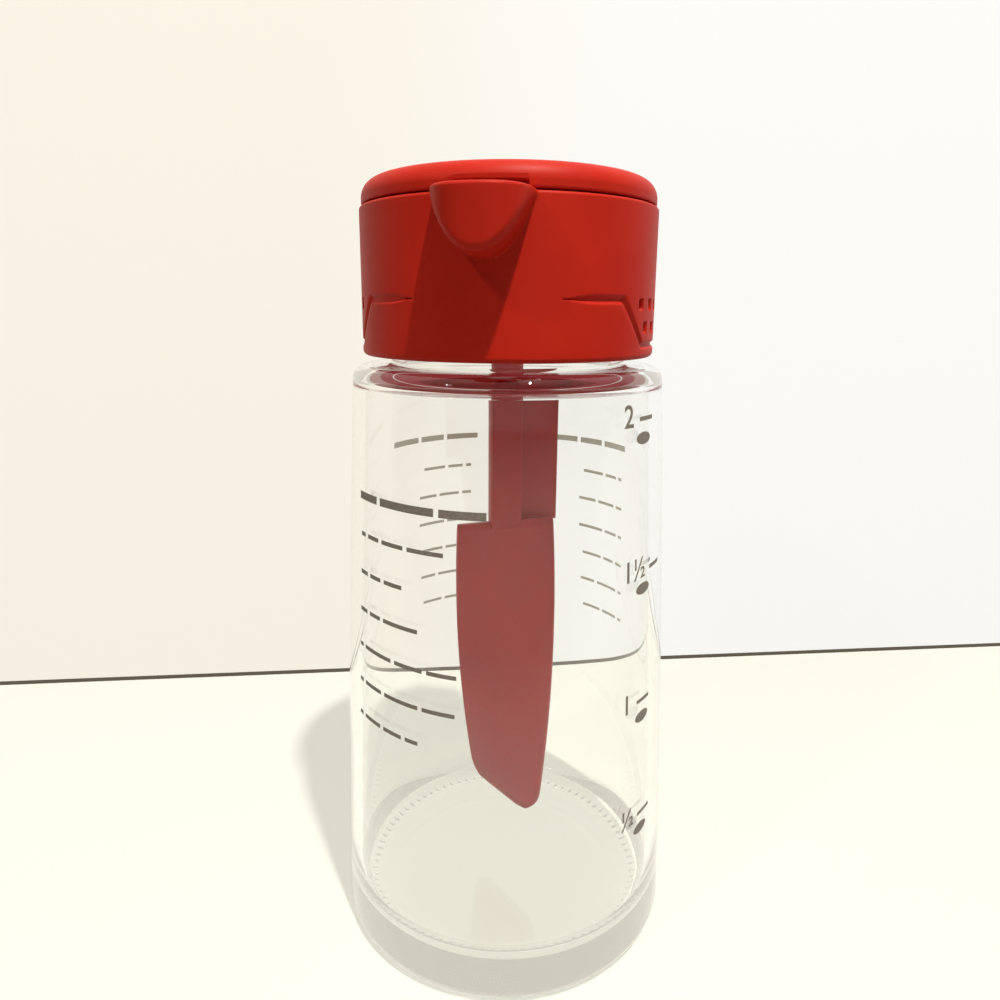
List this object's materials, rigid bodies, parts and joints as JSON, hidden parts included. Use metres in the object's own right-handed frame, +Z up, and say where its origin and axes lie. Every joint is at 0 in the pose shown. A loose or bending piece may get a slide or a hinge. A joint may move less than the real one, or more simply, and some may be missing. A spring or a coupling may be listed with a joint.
{
  "type": "salad dressing shaker bottle",
  "caption": "Tapered glass shaker bottle with a red twist-on lid, pouring beak, hinged flip cap and a mixing blade that hangs from the lid.",
  "frame": {"origin": "centre of the ring that the bottle rests on, on the bottle's axis", "axes": "+Z up along the bottle's axis, -Y towards the pouring beak, +X to the right seen from the beak"},
  "size_m": [0.083, 0.0843, 0.1772],
  "materials": {
    "glass": "clear pressed glass, polished, with a light green tint in the thick base",
    "lid_plastic": "moulded plastic with a fine satin grain",
    "inner_plastic": "smooth moulded plastic",
    "blade_plastic": "smooth moulded plastic with soft edges",
    "silicone": "soft milky silicone",
    "pin_steel": "drawn wire"
  },
  "bodies": {
    "bottle": {"glass_bottle": "glass"},
    "gasket": {"rim_gasket": "silicone"},
    "lid": {"lid_collar": "lid_plastic", "lug_ring": "inner_plastic", "pour_deck": "inner_plastic", "hinge_pin": "pin_steel"},
    "cap": {"flip_cap": "lid_plastic", "cap_plate": "inner_plastic", "spout_stopper": "silicone", "vent_stopper": "silicone"},
    "mixer": {"agitator": "blade_plastic", "stem_ring": "silicone"}
  },
  "joints": [
    {"name": "lid_lift", "type": "slide", "parent": "bottle", "child": "gasket", "axis": [0, 0, 1], "range_m": [0, 0.145]},
    {"name": "lid_turn", "type": "hinge", "parent": "gasket", "child": "lid", "pos_m": [0, 0, 0.16], "axis": [0, 0, 1], "range_deg": [0, 45]},
    {"name": "cap_flip", "type": "hinge", "parent": "lid", "child": "cap", "pos_m": [0, 0.0311, 0.1713], "axis": [-1, 0, 0], "range_deg": [0, 115]},
    {"name": "agitator_pull", "type": "slide", "parent": "lid", "child": "mixer", "axis": [0, 0, -1], "range_m": [0, 0.014]}
  ]
}
